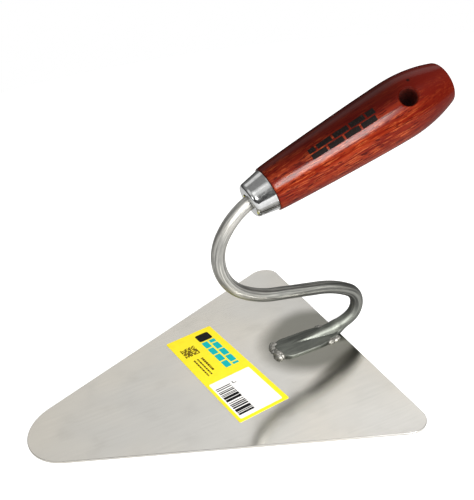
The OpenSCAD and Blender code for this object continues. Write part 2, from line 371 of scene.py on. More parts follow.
def handle_place(s):
    """Coordinates in the handle's own frame: X down, Y across, Z along the axis."""
    tilt = math.radians(90 - HANDLE_TILT)
    moved = s.vector("SUBTRACT", s.place(), tuple(GRIP))
    return s.mapped(moved, (1, 1, 1), (0, -tilt, 0))


# Painted shade on the handle's upper side: the height where it sets in
TOP_SHADE_EDGE = (5.5 * MM, 13 * MM)  # height above the handle's axis
# Where along the handle the darkening towards the butt sets in
BUTT_DARKENING = (74 * MM, 100 * MM)
KNOT_PLACE = (91.2 * MM, 24.0)  # station and roll on the wood
KNOT_R = (0.5 * MM, 1.3 * MM)


def wood_material():
    """Red-stained hardwood under thin varnish: growth bands, long pores and a small knot."""
    s = Shader("stained_wood")
    along = handle_place(s)
    wander = s.noise(s.mapped(along, (55, 55, 14)), 1.0, 2.0)
    push = s.math("MULTIPLY", s.math("SUBTRACT", wander, 0.5), 9 * MM)
    bent = s.vector("ADD", along, s.node("ShaderNodeCombineXYZ", {"X": push, "Y": push}).outputs[0])
    bands = s.node("ShaderNodeTexWave", {"Vector": s.mapped(bent, (1, 0.55, 0.035), (0.12, 0.05, 0.3)),
                                         "Scale": 62.0, "Distortion": 2.2, "Detail": 3.0,
                                         "Detail Scale": 1.6}, wave_type="BANDS").outputs["Fac"]
    fibres = s.noise(s.mapped(bent, (1150, 1150, 85)), 1.0, 4.0, 0.65)
    streaks = s.noise(s.mapped(bent, (380, 380, 26)), 1.0, 3.0, 0.6)
    pores = s.noise(s.mapped(bent, (1700, 1700, 170)), 1.0, 2.0)
    clouds = s.noise(s.mapped(along, (60, 60, 26)), 1.0, 2.0)
    colour = s.mix(s.ramp(bands, 0.1, 0.95), rgb(108, 28, 12), rgb(128, 42, 19))
    colour = s.mix(s.ramp(streaks, 0.44, 0.62, 0.0, 0.75), colour, rgb(88, 17, 9))
    colour = s.mix(s.ramp(fibres, 0.50, 0.66, 0.0, 0.80), colour, rgb(168, 80, 42))
    colour = s.mix(s.ramp(clouds, 0.42, 0.68, 0.0, 0.45), colour, rgb(94, 18, 11))
    colour = s.mix(s.ramp(pores, 0.56, 0.64, 0.0, 0.90), colour, rgb(58, 11, 7))
    # Painted shade: the handle's upper side is darker, where less light falls
    split = s.node("ShaderNodeSeparateXYZ", {"Vector": along})
    height = s.math("MULTIPLY", split.outputs["X"], -1.0)
    edge = s.math("ADD", height, s.math("MULTIPLY", s.math("SUBTRACT", wander, 0.5), 6 * MM))
    top_shade = s.ramp(edge, *TOP_SHADE_EDGE)
    colour = s.mix(s.math("MULTIPLY", top_shade, 0.88), colour, rgb(44, 3, 2))
    # Darker towards the butt
    end = s.ramp(split.outputs["Z"], *BUTT_DARKENING)
    colour = s.mix(s.math("MULTIPLY", end, 0.86), colour, rgb(80, 15, 8))
    # Knot beside the hanging hole
    knot_spot = surface_point(*KNOT_PLACE, 0.0)
    away = s.vector("LENGTH", s.vector("SUBTRACT", s.place(), tuple(knot_spot)))
    knot = s.ramp(away, *KNOT_R, 1.0, 0.0)
    colour = s.mix(knot, colour, rgb(30, 8, 6))
    roughness = s.ramp(fibres, 0.3, 0.8, 0.40, 0.55)
    normal = s.bump(fibres, 0.06 * MM, 0.8)
    normal = s.bump(pores, 0.08 * MM, 0.8, normal)
    s.set(Base_Color=colour, Roughness=roughness, Normal=normal, Specular_IOR_Level=0.0,
          Coat_Weight=0.33, Coat_Roughness=0.16, Coat_IOR=1.4)
    s.set(Coat_Normal=s.bump(fibres, 0.03 * MM, 0.7))
    return s.material


def bore_material():
    """Painted shade: darker wood inside the hanging hole, with the drill's rough grain."""
    s = Shader("bored_wood")
    spot = s.place()
    grain = s.noise(spot, 900.0, 4.0, 0.6)
    # Painted shade: the bore is coloured darker than the stained outside
    colour = s.mix(s.ramp(grain, 0.3, 0.7), rgb(58, 13, 8), rgb(96, 26, 15))
    s.set(Base_Color=colour, Roughness=0.85, Specular_IOR_Level=0.15, Normal=s.bump(grain, 0.2 * MM, 0.8))
    return s.material


def paper_material(name, colour):
    """Coated label stock with a faint mottle and fibre."""
    s = Shader(name)
    spot = s.place()
    mottle = s.noise(spot, 300.0, 4.0, 0.6)
    fibre = s.noise(spot, 2600.0, 3.0, 0.6)
    darker = tuple(c * 0.93 for c in colour[:3]) + (1.0,)
    tone = s.mix(s.ramp(mottle, 0.35, 0.75), colour, darker)
    roughness = s.ramp(fibre, 0.3, 0.7, 0.34, 0.48)
    normal = s.bump(fibre, 0.01 * MM, 0.6)
    s.set(Base_Color=tone, Roughness=roughness, Normal=normal)
    return s.material


def ink_material(name, colour, patchy=0.0):
    """Printing ink with thin spots where the surface below shows through as a paler tone."""
    s = Shader(name)
    spot = s.place()
    wear = s.noise(spot, 1400.0, 4.0, 0.7)
    worn = tuple(min(1.0, c + patchy * 0.12) for c in colour[:3]) + (1.0,)
    tone = s.mix(s.ramp(wear, 0.52, 0.72), colour, worn)
    roughness = s.ramp(wear, 0.3, 0.7, 0.50, 0.70)
    s.set(Base_Color=tone, Roughness=roughness, Specular_IOR_Level=0.06,
          Normal=s.bump(wear, 0.01 * MM, 0.5))
    return s.material


FLOOR_GLOW = 0.22  # what the table gives off in reflections
FLOOR_SHOWN = 0.85  # what it gives off to the camera


def floor_material():
    """White table: white to the camera, and a dimmer light source for the trowel."""
    s = Shader("white_table")
    seen = s.node("ShaderNodeLightPath", {}).outputs["Is Camera Ray"]
    s.set(Base_Color=(0.5, 0.5, 0.5, 1), Roughness=0.9, Emission_Color=(1, 1, 1, 1),
          Emission_Strength=s.ramp(seen, 0.0, 1.0, FLOOR_GLOW, FLOOR_SHOWN))
    return s.material


# ------------------------------------------------------------------------ blade

TIP_R = 24.5 * MM
HEEL_R = 9.5 * MM
BLADE_EASE = 0.24 * MM


def blade_outline():
    """Three corner circles and their outer tangents, counter-clockwise from above."""
    tip = (BLADE_LOW.x + TIP_R, 0.0)
    heel = (-HEEL_R, HALF_W - HEEL_R)
    side = Vector((tip[0] - heel[0], tip[1] - heel[1]))
    normal = math.degrees(math.atan2(side.y, side.x) - math.acos((HEEL_R - TIP_R) / side.length))
    normal += 360
    return (arc_points(tip, TIP_R, normal, 360 - normal)
            + arc_points((heel[0], -heel[1]), HEEL_R, 360 - normal, 360)
            + arc_points(heel, HEEL_R, 0, normal))


def inset(outline, amount):
    """The outline moved inwards, corner by corner along its mean normal."""
    count = len(outline)
    moved = []
    for i, here in enumerate(outline):
        before, after = outline[i - 1], outline[(i + 1) % count]
        run = Vector((after[0] - before[0], after[1] - before[1])).normalized()
        moved.append((here[0] - run.y * amount, here[1] + run.x * amount))
    return moved


def make_blade():
    outline = blade_outline()
    steps = 4
    rings = []
    for top in (False, True):
        for i in range(steps + 1):
            angle = math.radians(90 * i / steps)
            if top:
                amount = BLADE_EASE * (1 - math.cos(angle))
                height = BLADE_T - BLADE_EASE * (1 - math.sin(angle))
            else:
                amount = BLADE_EASE * (1 - math.sin(angle))
                height = BLADE_EASE * (1 - math.cos(angle))
            rings.append([Vector((x, y, height)) for x, y in inset(outline, amount)])
    blade = loft("blade_plate", rings)
    blade.data.materials.append(blade_material())
    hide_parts("blade")
    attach(blade, "root")


# ------------------------------------------------------------------------- tang

FOOT_LEN = 38 * MM
FOOT_HALF = 9 * MM
FOOT_HEEL_HALF = 5.5 * MM
FOOT_FLARE = 16 * MM
FOOT_CORNER = 7.5 * MM
FOOT_H = 2.3 * MM
FOOT_EDGE_H = 1.1 * MM
FOOT_EASE = 0.5 * MM
RIDGE_LEN = 28.5 * MM
RIDGE_BLEND = 0.25 * MM
RIDGE_TIP_MM = 0.5  # the ridge's radius at its tip
RIDGE_GAIN_MM = 3.1  # how much it grows to the heel
RIDGE_CURVE = 1.15  # how the ridge's height rises along the foot
RIDGE_SPREAD = 1.25  # its half width and depth, against its radius
RIDGE_DEPTH = 1.3
ROD_MID_Z = BLADE_T + ROD_R


def rod_path():
    """Stations along the rod's middle: (x, z, heading in degrees, distance)."""
    stations = []
    x, z, heading, gone = -FOOT_LEN, ROD_MID_Z, 0.0, 0.0

    def straight(length, step):
        nonlocal x, z, gone
        count = max(1, round(length / step))
        for _ in range(count):
            stations.append((x, z, heading, gone))
            x += length / count * math.cos(math.radians(heading))
            z += length / count * math.sin(math.radians(heading))
            gone += length / count

    def bend(radius, to):
        nonlocal x, z, heading, gone
        side = 1 if to > heading else -1
        count = math.ceil(abs(to - heading) / 3.0)
        start, x0, z0 = heading, x, z
        for i in range(count):
            stations.append((x, z, heading, gone))
            heading = start + (to - start) * (i + 1) / count
            a, b = math.radians(start), math.radians(heading)
            x = x0 + side * radius * (math.sin(b) - math.sin(a))
            z = z0 + side * radius * (math.cos(a) - math.cos(b))
            gone += radius * math.radians(abs(to - start)) / count

    straight(RISE_AT + FOOT_LEN, 0.35 * MM)
    for radius, to in FIRST_BENDS:
        bend(radius, to)
    straight(RUN_LEN, 1.5 * MM)
    for radius, to in LAST_BENDS:
        bend(radius, to)
    grip = (x, z)
    straight(SPIKE_Z - SPIKE_TAPER, 4 * MM)
    stations.append((x, z, heading, gone))
    return stations, Vector((grip[0], 0, grip[1]))


ROD, GRIP = rod_path()
IN_HANDLE = Matrix.Translation(GRIP) @ Matrix.Rotation(math.radians(90 - HANDLE_TILT), 4, "Y")


def foot_half_width(x):
    corner_x = FOOT_CORNER - FOOT_LEN
    if x < corner_x:
        drop = corner_x - x
        return FOOT_HALF - FOOT_CORNER + math.sqrt(max(0.0, FOOT_CORNER**2 - drop**2))
    if x < -FOOT_FLARE:
        return FOOT_HALF
    t = ease((x + FOOT_FLARE) / FOOT_FLARE)
    return FOOT_HALF + (FOOT_HEEL_HALF - FOOT_HALF) * t


def foot_top(x, y):
    """Height of the foot's top above the blade: a crowned pad with a tapering ridge."""
    rise = FOOT_H - FOOT_EDGE_H
    crown = (FOOT_HALF**2 + rise**2) / (2 * rise)
    pad = FOOT_H - crown + math.sqrt(crown**2 - y**2)
    t = (x + RIDGE_LEN) / RIDGE_LEN
    if t <= 0:
        return pad
    grown = min(1.0, t)
    radius = (RIDGE_TIP_MM + RIDGE_GAIN_MM * grown) * MM
    peak = FOOT_H + (2 * ROD_R - FOOT_H) * grown**RIDGE_CURVE
    half = radius * RIDGE_SPREAD
    if abs(y) >= half:
        ridge = 0.0
    else:
        fall = 1 - math.sqrt(max(0.0, 1 - (y / half) ** 2))
        ridge = peak - radius * fall * RIDGE_DEPTH
    gap = ridge - pad
    return pad + (gap + math.sqrt(gap * gap + RIDGE_BLEND * RIDGE_BLEND)) / 2


RING_BOTTOM = 24  # points along the underside of each ring
RING_TOP = 96  # points over its top


def foot_ring(x):
    """The foot's outline at station x: (across, above the blade) pairs, bottom first."""
    half = foot_half_width(x)
    front = x + FOOT_LEN
    drop = 0.0
    if front < FOOT_EASE:
        drop = FOOT_EASE - math.sqrt(FOOT_EASE**2 - (FOOT_EASE - front) ** 2)
    points = []
    for i in range(RING_BOTTOM):
        points.append((-half + 2 * half * i / RING_BOTTOM, 0.0))
    for i in range(RING_TOP):
        angle = math.pi * i / (RING_TOP - 1)
        y = half * math.cos(angle)
        edge = min(1.0, (half - abs(y)) / FOOT_EASE)
        fall = FOOT_EASE * (1 - math.sqrt(max(0.0, 1 - (1 - edge) ** 2)))
        top = foot_top(x, y) - drop - fall
        points.append((y, max(0.05 * MM, top)))
    return points


def rod_ring(radius):
    """The round rod's outline, with its points spread as the foot's are."""
    points = []
    for i in range(RING_BOTTOM):
        angle = math.radians(225 + 90 * i / RING_BOTTOM)
        points.append((radius * math.cos(angle), radius * math.sin(angle) + ROD_R))
    for i in range(RING_TOP):
        angle = math.radians(-45 + 270 * i / RING_TOP)
        points.append((radius * math.cos(angle), radius * math.sin(angle) + ROD_R))
    return points


def forge_mark(spot, strength):
    """Uneven surface left by forging."""
    wave = noise.noise(spot * 260.0) * 0.09 + noise.noise(spot * 700.0) * 0.035
    return wave * MM * strength


def make_tang():
    """The rod as one skin: the foot's rings turn into round ones at the rise."""
    rings, flow = [], []
    blend_from, blend_to = -5 * MM, 5 * MM
    for x, z, heading, gone in ROD:
        angle = math.radians(heading)
        above = Vector((-math.sin(angle), 0, math.cos(angle)))
        travel = gone - FOOT_LEN
        weight = ease((travel - blend_from) / (blend_to - blend_from))
        ring = rod_ring(ROD_R)
        if weight < 1:
            flat = foot_ring(min(travel, 0.0))
            ring = [(a[0] + (b[0] - a[0]) * weight, a[1] + (b[1] - a[1]) * weight)
                    for a, b in zip(flat, ring)]
        base = Vector((x, 0, z))
        made = []
        for across, up in ring:
            spot = base + Vector((0, across, 0)) + above * (up - ROD_R)
            if up > 0.3 * MM:
                out = Vector((0, across, 0)) + above * (up - ROD_R * (1 - 0.7 * (1 - weight)))
                spot += out.normalized() * forge_mark(spot, 1.0 if weight < 1 else 0.45)
            made.append(spot)
            flow.append((across, up, gone))
        rings.append(made)
    tip = []
    for across, up in rod_ring(SPIKE_TIP_R):
        spot = IN_HANDLE @ Vector((0, 0, SPIKE_Z))
        tip.append(spot + Vector((0, across, 0)) + above * (up - ROD_R))
        flow.append((across, up, gone + SPIKE_TAPER))
    rings.append(tip)
    tang = loft("tang_rod", rings)
    if len(tang.data.vertices) == len(flow):
        set_flow(tang, flow)
    else:
        raise RuntimeError("the tang's vertices were welded together")
    tang.data.materials.append(rod_material())
    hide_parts("tang")
    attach(tang, "root")


# ------------------------------------------------------------------------ welds

def make_bead(name, node, start, end, width, seed):
    """An irregular weld bead: random lumps fused together, flat where they meet the blade."""
    draw = random.Random(seed)
    bm = bmesh.new()
    length = math.dist(start, end)
    count = math.ceil(length / (0.30 * width)) + 1
    for i in range(count):
        t = i / (count - 1)
        radius = width * draw.uniform(0.34, 0.58)
        spot = Vector((start[0] + (end[0] - start[0]) * t + draw.uniform(-0.10, 0.10) * width,
                       start[1] + (end[1] - start[1]) * t + draw.uniform(-0.08, 0.08) * width,
                       BLADE_T + draw.uniform(-0.05, 0.06) * width))
        flat = Matrix.Diagonal((1, 1, draw.uniform(0.75, 1.0), 1))
        bmesh.ops.create_icosphere(bm, subdivisions=3, radius=radius,
                                   matrix=Matrix.Translation(spot) @ flat)
    mesh = bpy.data.meshes.new(name)
    bm.to_mesh(mesh)
    bm.free()
    bead = bpy.data.objects.new(name, mesh)
    bpy.context.scene.collection.objects.link(bead)
    fuse = bead.modifiers.new("fuse", "REMESH")
    fuse.mode = "VOXEL"
    fuse.voxel_size = 0.2 * MM
    soften = bead.modifiers.new("soften", "SMOOTH")
    soften.factor = 0.5
    soften.iterations = 4
    apply_modifiers(bead)
    for vertex in bead.data.vertices:
        co = vertex.co
        wave = noise.noise(co * 420.0) * 0.55 + noise.noise(co * 1150.0) * 0.28
        co += vertex.normal * wave * MM
        co.z = max(co.z, BLADE_T - 0.05 * MM)
    finish_mesh(bead, 60.0)
    bead.data.materials.append(weld_material())
    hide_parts(node)
    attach(bead, "root")


FRONT_BEAD_W = 6.2 * MM
HEEL_BEAD_W = 3.8 * MM
HEEL_BEADS = (("near_weld", "weld_near", -1, 23), ("far_weld", "weld_far", 1, 31))


def make_welds():
    front = -FOOT_LEN
    reach = FOOT_HALF - FOOT_CORNER / 2
    start = (front - 0.4 * MM, -reach)
    end = (front + 0.2 * MM, reach)
    make_bead("front_weld", "weld_front", start, end, FRONT_BEAD_W, 11)
    for name, node, side, seed in HEEL_BEADS:
        lo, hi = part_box(node)
        middle = (lo.y + hi.y) / 2
        start = (hi.x - 2.1 * MM, middle - side * 0.4 * MM)
        end = (lo.x + 2.1 * MM, middle + side * 0.6 * MM)
        make_bead(name, node, start, end, HEEL_BEAD_W, seed)


# ---------------------------------------------------------------------- ferrule

FERRULE_R = 11.1 * MM
RIM_R = 9.4 * MM
NOSE_LEN = 2.6 * MM
RIM_Z = NOSE_Z + NOSE_LEN
NOSE_R = 7.4 * MM
WALL = 1.1 * MM
FERRULE_HOLE_R = 4.2 * MM


def make_ferrule():
    edge = 0.28 * MM
    profile = [(FERRULE_HOLE_R, NOSE_Z + WALL), (FERRULE_HOLE_R, NOSE_Z + 0.25 * MM),
               (FERRULE_HOLE_R + 0.25 * MM, NOSE_Z)]
    for i in range(13):
        a = math.radians(90 * i / 12)
        profile.append((NOSE_R + (RIM_R - NOSE_R) * math.sin(a), RIM_Z - NOSE_LEN * math.cos(a)))
    cone = (FERRULE_R - RIM_R) / (WOOD_Z - RIM_Z)
    open_z = WOOD_Z - 0.05 * MM
    for i in range(1, 9):
        z = RIM_Z + (open_z - edge - RIM_Z) * i / 8
        profile.append((RIM_R + cone * (z - RIM_Z), z))
    outer = FERRULE_R - 0.02 * MM
    for i in range(1, 6):
        a = math.radians(90 * i / 5)
        profile.append((outer - edge * (1 - math.cos(a)), open_z - edge * (1 - math.sin(a))))
    profile += [(outer - WALL, open_z), (RIM_R - WALL, RIM_Z), (NOSE_R - WALL / 2, NOSE_Z + WALL)]
    ferrule = lathe("ferrule_cup", profile, 160, IN_HANDLE)
    ferrule.data.materials.append(ferrule_material())
    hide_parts("ferrule")
    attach(ferrule, "root")


# ----------------------------------------------------------------------- handle

NECK_R = 11.7 * MM
BELLY_R = 16.25 * MM
BELLY_Z = BUTT_Z - 29 * MM
BELLY_EASE = 16 * MM
SHOULDER = 0.6 * MM
REAR_R = 77 * MM
DOME = 2 * MM
BUTT_TRIM = 0.45 * MM
HOLE_R = 4.5 * MM
MOUTH_R = 2.4 * MM


def barrel_radius(z):
    """Radius of the wood's outside at station z, for the printed mark and the knot."""
    for (r0, z0), (r1, z1) in zip(BARREL, BARREL[1:]):
        if z0 <= z <= z1:
            return r0 + (r1 - r0) * (z - z0) / (z1 - z0)
    return NECK_R


def barrel_profile():
    """Outside of the wood from the ferrule to the butt's edge, as (radius, station)."""
    neck, full = (NECK_R, WOOD_Z), (NECK_R + SHOULDER, WOOD_Z)
    level, belly = (BELLY_R, BELLY_Z - BELLY_EASE), (BELLY_R, BELLY_Z)
    points = []
    for i in range(97):
        t = i / 96
        weights = ((1 - t) ** 3, 3 * (1 - t) ** 2 * t, 3 * (1 - t) * t * t, t**3)
        corners = (neck, full, level, belly)
        points.append(tuple(sum(w * c[k] for w, c in zip(weights, corners)) for k in (0, 1)))
    edge_z = BUTT_Z - DOME
    swing = math.asin((edge_z - BELLY_Z) / REAR_R)
    for i in range(1, 33):
        a = swing * i / 32
        points.append((BELLY_R - REAR_R * (1 - math.cos(a)), BELLY_Z + REAR_R * math.sin(a)))
    return points


BARREL = barrel_profile()


def surface_point(z, roll, lift):
    """A point on the wood: roll is in degrees from straight up towards -Y."""
    radius = barrel_radius(z) + lift
    a = math.radians(roll)
    return IN_HANDLE @ Vector((-radius * math.cos(a), -radius * math.sin(a), z))


def butt_profile():
    """Points over the butt's shallow dome, from its edge in towards the axis."""
    butt_r = BARREL[-1][0]
    dome_r = (butt_r**2 + DOME**2) / (2 * DOME)
    return [(dome_r * math.sin(a), BUTT_Z - dome_r * (1 - math.cos(a)))
            for a in [math.asin(butt_r / dome_r) * (1 - i / 24) for i in range(1, 24)]]


def corner_curve(a, corner, b):
    """Points between a and b on a curve drawn towards the corner."""
    points = []
    for i in range(1, 6):
        t = i / 6
        points.append(tuple((1 - t) ** 2 * a[k] + 2 * t * (1 - t) * corner[k] + t * t * b[k]
                            for k in (0, 1)))
    return points


def mark_bore(handle):
    """Gives the faces inside the hanging hole the handle's second material."""
    roll = math.radians(HANG_ROLL)
    to_hole = IN_HANDLE @ Matrix.Translation((0, 0, HANG_Z)) @ Matrix.Rotation(roll, 4, "Z")
    to_hole = to_hole.inverted()
    for face in handle.data.polygons:
        spot = to_hole @ face.center
        near_axis = math.hypot(spot.y, spot.z) < HOLE_R + 0.3 * MM
        if near_axis and abs(spot.x) < BELLY_R - 1.0 * MM:
            face.material_index = 1


def make_handle():
    bore = ROD_R + 0.05 * MM
    spigot_z = NOSE_Z + WALL + 0.05 * MM
    inside = [(0, SPIKE_Z + 0.3 * MM), (1.6 * MM, SPIKE_Z + 0.1 * MM),
              (bore, SPIKE_Z - SPIKE_TAPER), (bore, 0.0), (4.5 * MM, spigot_z)]
    spigot = [(NOSE_R - WALL / 2 - 0.05 * MM, spigot_z), (RIM_R - WALL - 0.05 * MM, RIM_Z),
              (FERRULE_R - WALL - 0.1 * MM, WOOD_Z)]
    ease_r = 0.25 * MM
    start = []
    for degrees in (0, 30, 60, 90):
        a = math.radians(degrees)
        start.append((NECK_R - ease_r * (1 - math.sin(a)), WOOD_Z + ease_r * (1 - math.cos(a))))
    outside = [point for point in BARREL if point[1] > WOOD_Z + ease_r]
    corner = outside[-1]
    outside = [p for p in outside if p[1] < corner[1] - BUTT_TRIM]
    dome = [p for p in butt_profile() if p[0] < corner[0] - BUTT_TRIM]
    rounding = corner_curve(outside[-1], corner, dome[0])
    profile = inside + spigot + start + outside + rounding + dome + [(0, BUTT_Z)]
    handle = lathe("handle_wood", profile, 180, IN_HANDLE, 40.0)
    cutter = hole_cutter()
    cut = handle.modifiers.new("hole", "BOOLEAN")
    cut.operation = "DIFFERENCE"
    cut.object = cutter
    cut.solver = "EXACT"
    apply_modifiers(handle)
    bpy.data.objects.remove(cutter)
    finish_mesh(handle, 38.0)
    handle.data.materials.append(wood_material())
    handle.data.materials.append(bore_material())
    mark_bore(handle)
    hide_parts("handle")
    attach(handle, "root")


def hole_cutter():
    """The hanging hole with both mouths rounded over."""
    centre = BELLY_R - MOUTH_R - 0.1 * MM
    half = [(HOLE_R, 0.0), (HOLE_R, centre * 0.5)]
    for i in range(9):
        a = math.radians(80 * i / 8)
        half.append((HOLE_R + MOUTH_R * (1 - math.cos(a)), centre + MOUTH_R * math.sin(a)))
    last = half[-1]
    half.append((last[0] + 2.4 * MM, last[1] + 1.2 * MM))
    half.append((0, last[1] + 1.2 * MM))
    mirrored = [(r, -h) for r, h in half[::-1]][:-1]
    roll = Matrix.Rotation(math.radians(HANG_ROLL), 4, "Z")
    place = IN_HANDLE @ Matrix.Translation((0, 0, HANG_Z)) @ roll @ Matrix.Rotation(math.pi / 2, 4, "Y")
    return lathe("hole_cutter", mirrored + half, 96, place)


# ------------------------------------------------------- printed mark and label

def wrapped_patch(z0, z1, roll0, roll1, lift, verts, faces):
    """Adds one thin closed patch that follows the wood's surface."""
    nz = max(2, round((z1 - z0) / (0.7 * MM)))
    nr = max(2, round(abs(roll1 - roll0) / 3.0))
    base = len(verts)
    for layer in (-0.04 * MM, lift):
        for i in range(nz + 1):
            for k in range(nr + 1):
                verts.append(surface_point(z0 + (z1 - z0) * i / nz,
                                           roll0 + (roll1 - roll0) * k / nr, layer))
    layer_size = (nz + 1) * (nr + 1)

    def index(layer, i, k):
        return base + layer * layer_size + i * (nr + 1) + k

    for i in range(nz):
        for k in range(nr):
            faces.append([index(1, i, k), index(1, i + 1, k),
                          index(1, i + 1, k + 1), index(1, i, k + 1)])
            faces.append([index(0, i, k), index(0, i, k + 1),
                          index(0, i + 1, k + 1), index(0, i + 1, k)])
    rim = ([(i, 0) for i in range(nz)] + [(nz, k) for k in range(nr)]
           + [(i, nr) for i in range(nz, 0, -1)] + [(0, k) for k in range(nr, 0, -1)])
    for (i0, k0), (i1, k1) in zip(rim, rim[1:] + rim[:1]):
        faces.append([index(0, i0, k0), index(0, i1, k1), index(1, i1, k1), index(1, i0, k0)])


def make_handle_mark():
    """A generic printed mark: small bricks in running bond."""
    verts, faces = [], []
    start, end = WOOD_Z + 23.5 * MM, WOOD_Z + 62 * MM
    brick, joint = 9.6 * MM, 1.1 * MM
    courses = 2
    roll_low, roll_high = 33.0, 60.0
    height = (roll_high - roll_low) / courses
    for course in range(courses):
        z = start + (0 if course % 2 else -brick / 2)
        roll = roll_low + height * course
        while z < end:
            z0, z1 = max(z, start), min(z + brick - joint, end)
            if z1 - z0 > 1.2 * MM:
                wrapped_patch(z0, z1, roll + 1.3, roll + height - 1.3, 0.03 * MM, verts, faces)
            z += brick
    mark = make_piece("handle_mark", verts, faces)
    mark.data.materials.append(ink_material("mark_ink", rgb(14, 8, 7), 0.10))
    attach(mark, "root")


LABEL_LOW, LABEL_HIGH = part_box("label")
LABEL_TURN = math.radians(7.8)
LABEL_W = 29 * MM
LABEL_L = 85 * MM
LABEL_T = 0.15 * MM
LABEL_PLACE = (Matrix.Translation(((LABEL_LOW.x + LABEL_HIGH.x) / 2, (LABEL_LOW.y + LABEL_HIGH.y) / 2, 0))
               @ Matrix.Rotation(LABEL_TURN, 4, "Z"))
INK_LIFT = 0.02 * MM


def rounded_box(bounds, low, high, corner):
    """Outline loops of a flat slab with rounded corners: (bottom ring, top ring)."""
    x0, y0, x1, y1 = bounds
    corner = min(corner, (x1 - x0) / 2.01, (y1 - y0) / 2.01)
    centres = [(x1 - corner, y1 - corner, 0), (x0 + corner, y1 - corner, 90),
               (x0 + corner, y0 + corner, 180), (x1 - corner, y0 + corner, 270)]
    ring = []
    for cx, cy, start in centres:
        ring += arc_points((cx, cy), corner, start, start + 90, 22.5)
    return [[LABEL_PLACE @ Vector((x, y, z)) for x, y in ring] for z in (low, high)]


def make_slabs(name, shapes, low, high, corner, material):
    """One piece made of many thin flat slabs, in the label's own millimetres."""
    verts, faces = [], []
    for bounds in shapes:
        bottom, top = rounded_box([v * MM for v in bounds], low, high, corner)
        base, count = len(verts), len(bottom)
        verts += bottom + top
        faces.append([base + k for k in range(count)][::-1])
        faces.append([base + count + k for k in range(count)])
        for k in range(count):
            n = (k + 1) % count
            faces.append([base + k, base + n, base + count + n, base + count + k])
    piece = make_piece(name, verts, faces)
    piece.data.materials.append(material)
    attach(piece, "root")
    return piece


# Each group of bars: first and last place along the label, and how heavy the bars are
BAR_GROUPS = ((-13.0, -15.8, 0.5), (-16.4, -25.6, 1.0), (-26.9, -32.0, 1.0), (-32.9, -37.8, 1.1))
# Each line of dashes: place across, first and last place along the label, thickness
DASH_LINES = ((-3.6, 17.0, 3.0, 1.3), (-6.3, 17.4, 0.2, 0.9), (-8.4, 17.4, -0.4, 0.9))


def bar_stripes():
    """Bars of uneven width across the white panel, in four groups."""
    draw = random.Random(5)
    stripes = []
    for start, end, heavy in BAR_GROUPS:
        y = start
        while y > end:
            bar = draw.choice((0.6, 0.9, 1.4, 2.0)) * heavy
            bar = min(bar, y - end + 0.2)
            stripes.append((-12.0, y - bar, -3.2, y))
            y -= bar + draw.choice((0.4, 0.5, 0.8))
    return stripes


def code_dots():
    """A square patch of scattered small squares."""
    draw = random.Random(9)
    cell = 0.74
    dots = []
    for i in range(12):
        for k in range(12):
            if draw.random() < 0.70:
                x, y = -11.3 + i * cell, 22.0 + k * cell
                dots.append((x, y, x + cell * 0.92, y + cell * 0.92))
    return dots


def text_lines():
    """Dashes that stand for small print, with no letters."""
    draw = random.Random(3)
    lines = []
    for x, start, end, thick in DASH_LINES:
        y = start
        while y > end:
            dash = draw.uniform(0.8, 2.4)
            lines.append((x - thick, max(y - dash, end), x, y))
            y -= dash + 0.35
    return lines


def brick_shapes():
    """Two courses of small bricks in running bond along the label."""
    bricks = []
    for row, (x0, x1) in enumerate(((2.0, 5.7), (6.7, 10.4))):
        y = 29.4 + 3.4 * row
        while y > 0.5:
            high = min(y, 29.4)
            low = max(y - 6.7, 0.0)
            if high - low > 1.2:
                bricks.append((x0, low, x1, high))
            y -= 7.7
    return bricks


def make_label():
    top = BLADE_T + LABEL_T
    across, along = LABEL_W / MM / 2, LABEL_L / MM / 2
    sheet = make_slabs("label_sheet", [(-across, -along, across, along)],
                       BLADE_T, top, 0.8 * MM, paper_material("yellow_paper", rgb(252, 232, 20)))
    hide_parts("label")
    make_slabs("label_panel", [(-12.8, -40.6, 11.8, -7.2)], top - 0.01 * MM, top + INK_LIFT, 0.8 * MM,
               paper_material("white_paper", rgb(253, 253, 252)))
    black = ink_material("black_ink", rgb(26, 26, 28), 0.2)
    make_slabs("label_bars", bar_stripes() + [(-1.9, -14.2, -1.3, -12.2), (-1.2, -14.2, 0.2, -13.7)],
               top + INK_LIFT / 2, top + 2 * INK_LIFT, 0.02 * MM, black)
    small = ink_material("brown_ink", rgb(84, 66, 20), 0.2)
    make_slabs("label_code", code_dots() + text_lines(), top - 0.01 * MM, top + INK_LIFT, 0.02 * MM, small)
    make_slabs("label_block", [(2.0, 30.6, 10.4, 38.2)], top - 0.01 * MM, top + INK_LIFT, 1.2 * MM, black)
    make_slabs("label_bricks", brick_shapes(), top - 0.01 * MM, top + INK_LIFT, 0.5 * MM,
               ink_material("teal_ink", rgb(20, 176, 178), 0.2))


# ----------------------------------------------------------- camera, light, floor

def make_camera():
    """The photograph's viewpoint: place, heading, height and roll of the camera."""
    place = Vector((-0.15217, -0.29599, 0.23069))
    azimuth, elevation, roll = (math.radians(a) for a in (-18.6865, 27.1976, 8.7075))
    back = Vector((math.sin(azimuth) * math.cos(elevation),
                   -math.cos(azimuth) * math.cos(elevation), math.sin(elevation)))
    right = (-back).cross(Vector((0, 0, 1))).normalized()
    down = (-back).cross(right)
    turned_right = right * math.cos(roll) + down * math.sin(roll)
    turned_down = down * math.cos(roll) - right * math.sin(roll)
    data = bpy.data.cameras.new("camera")
    data.sensor_width = 36.0
    data.lens = 50.4
    camera = bpy.data.objects.new("camera", data)
    axes = Matrix((turned_right, -turned_down, back)).transposed().to_4x4()
    camera.matrix_world = Matrix.Translation(place) @ axes
    bpy.context.scene.collection.objects.link(camera)
    bpy.context.scene.camera = camera


def aim(azimuth, elevation):
    """A direction: azimuth 0 is +Y and 90 is +X; elevation is above the horizon."""
    a, e = math.radians(azimuth), math.radians(elevation)
    return Vector((math.sin(a) * math.cos(e), math.cos(a) * math.cos(e), math.sin(e)))


